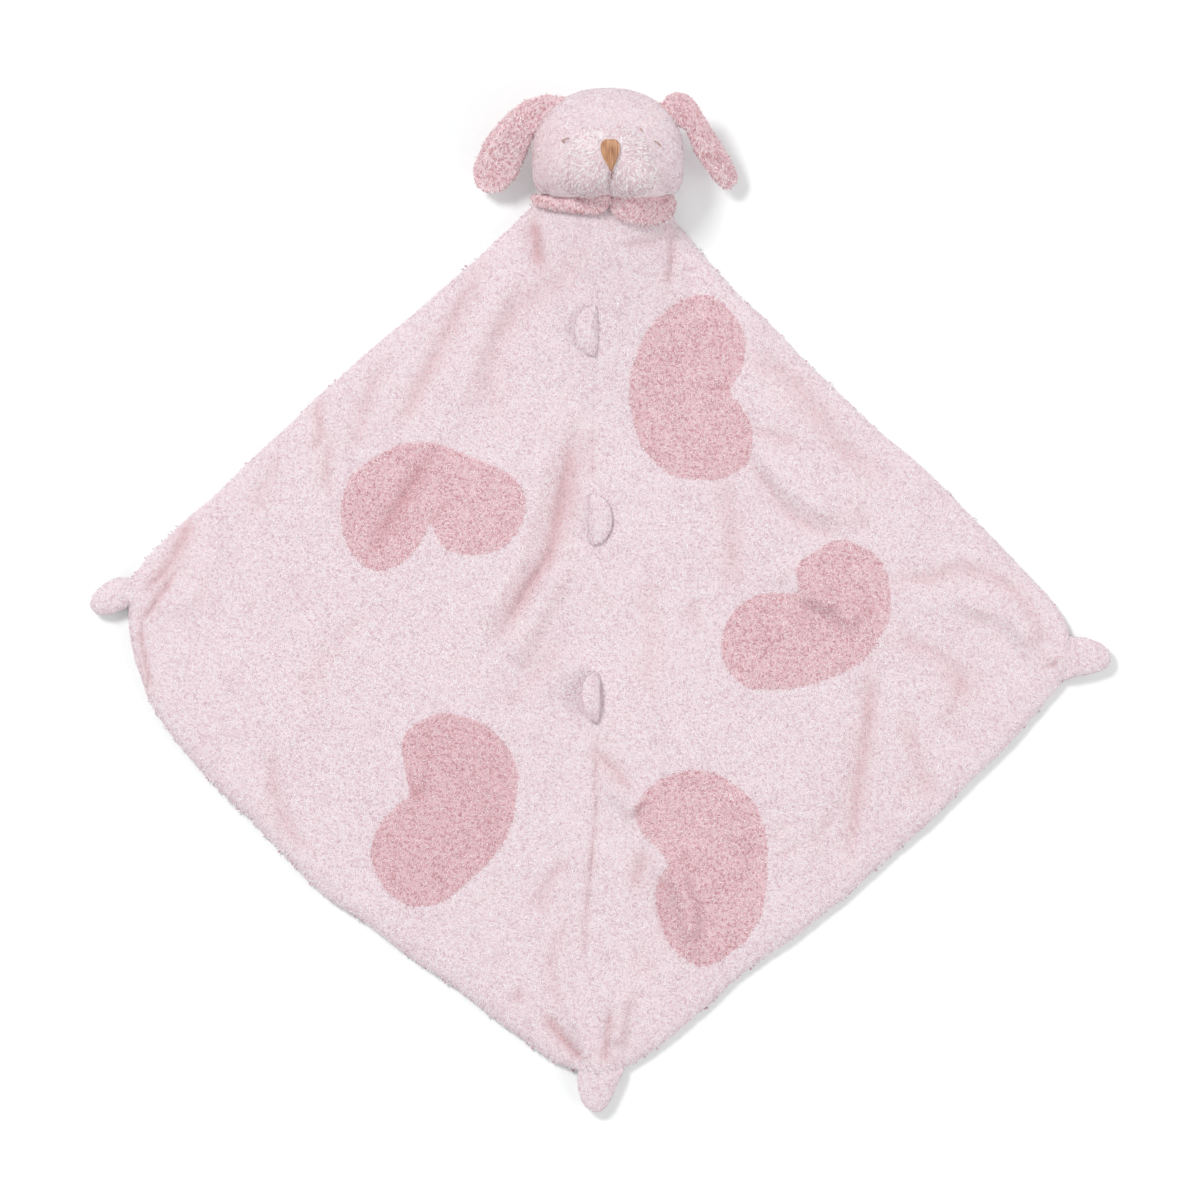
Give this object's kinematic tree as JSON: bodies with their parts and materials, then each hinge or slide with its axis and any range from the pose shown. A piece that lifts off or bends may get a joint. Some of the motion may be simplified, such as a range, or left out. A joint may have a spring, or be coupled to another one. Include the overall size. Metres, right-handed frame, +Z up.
{
  "type": "comfort blanket",
  "caption": "Soft comfort blanket lying flat: a stuffed puppy head with floppy ears and collar lobes on a square plush blanket with heart patches, seam tabs and stuffed corners.",
  "frame": {"origin": "on the underside of the back panel, below the middle of the blanket", "axes": "+Z up out of the face side as it lies on its back, +Y from the blanket towards the head, +X to the viewer's right"},
  "size_m": [0.5651, 0.5681, 0.0731],
  "materials": {
    "pink_plush": "pale pink short twisted pile",
    "rose_plush": "rose pink short twisted pile",
    "deep_rose_plush": "deeper rose short twisted pile",
    "muzzle_plush": "pale pink pile, a little denser",
    "filling_fibre": "white polyester filling",
    "tan_satin_thread": "tan satin stitch, slightly glossy"
  },
  "bodies": {
    "blanket": {"back_panel": "pink_plush", "front_panel_left": "pink_plush", "front_panel_right": "pink_plush", "heart_patch_upper_left": "rose_plush", "heart_patch_upper_right": "rose_plush", "heart_patch_mid_right": "rose_plush", "heart_patch_lower_left": "rose_plush", "heart_patch_lower_right": "rose_plush", "collar_left": "deep_rose_plush", "collar_right": "deep_rose_plush"},
    "head": {"face_panel": "pink_plush", "head_back_left": "pink_plush", "head_back_right": "pink_plush", "neck_disc": "pink_plush", "head_filling": "filling_fibre", "muzzle_cover": "muzzle_plush", "nose_stitching": "tan_satin_thread"},
    "ear_left": {"ear_left_front": "deep_rose_plush", "ear_left_back": "deep_rose_plush"},
    "ear_right": {"ear_right_front": "deep_rose_plush", "ear_right_back": "deep_rose_plush"},
    "seam_tab_upper": {"seam_tab_upper": "pink_plush"},
    "seam_tab_middle": {"seam_tab_middle": "pink_plush"},
    "seam_tab_lower": {"seam_tab_lower": "pink_plush"},
    "corner_nub_left": {"corner_nub_left": "pink_plush"},
    "corner_nub_right": {"corner_nub_right": "pink_plush"},
    "corner_nub_bottom": {"corner_nub_bottom": "pink_plush"}
  },
  "joints": [
    {"name": "neck_nod", "type": "hinge", "parent": "blanket", "child": "head", "pos_m": [0.0044, 0.24198, 0.041], "axis": [1, 0, 0], "range_deg": [0, 55]},
    {"name": "ear_left_lift", "type": "hinge", "parent": "head", "child": "ear_left", "pos_m": [-0.03148, 0.29057, 0.03365], "axis": [0.5926, 0.7292, 0.342], "range_deg": [-20, 75]},
    {"name": "ear_right_lift", "type": "hinge", "parent": "head", "child": "ear_right", "pos_m": [0.0426, 0.28776, 0.03494], "axis": [0.6028, -0.7209, -0.342], "range_deg": [-55, 50]},
    {"name": "seam_tab_upper_flip", "type": "hinge", "parent": "blanket", "child": "seam_tab_upper", "pos_m": [-0.00309, 0.16567, 0.02173], "axis": [0, 0.9788, 0.2048], "range_deg": [0, 150]},
    {"name": "seam_tab_middle_flip", "type": "hinge", "parent": "blanket", "child": "seam_tab_middle", "pos_m": [-0.00389, 0.06133, 0.01315], "axis": [0, -0.9999, 0.0104], "range_deg": [0, 150]},
    {"name": "seam_tab_lower_flip", "type": "hinge", "parent": "blanket", "child": "seam_tab_lower", "pos_m": [0, -0.03719, 0.01267], "axis": [0, 1, -0.0013], "range_deg": [-35, 100]},
    {"name": "corner_nub_left_lift", "type": "hinge", "parent": "blanket", "child": "corner_nub_left", "pos_m": [-0.26668, 0.01821, 0.0065], "axis": [-0.2419, 0.9703, 0], "range_deg": [0, 75]},
    {"name": "corner_nub_right_lift", "type": "hinge", "parent": "blanket", "child": "corner_nub_right", "pos_m": [0.26672, -0.01408, 0.0065], "axis": [-0.1045, -0.9945, 0], "range_deg": [0, 75]},
    {"name": "corner_nub_bottom_lift", "type": "hinge", "parent": "blanket", "child": "corner_nub_bottom", "pos_m": [-0.00087, -0.25177, 0.0065], "axis": [-0.999, 0.0436, 0], "range_deg": [0, 75]}
  ]
}
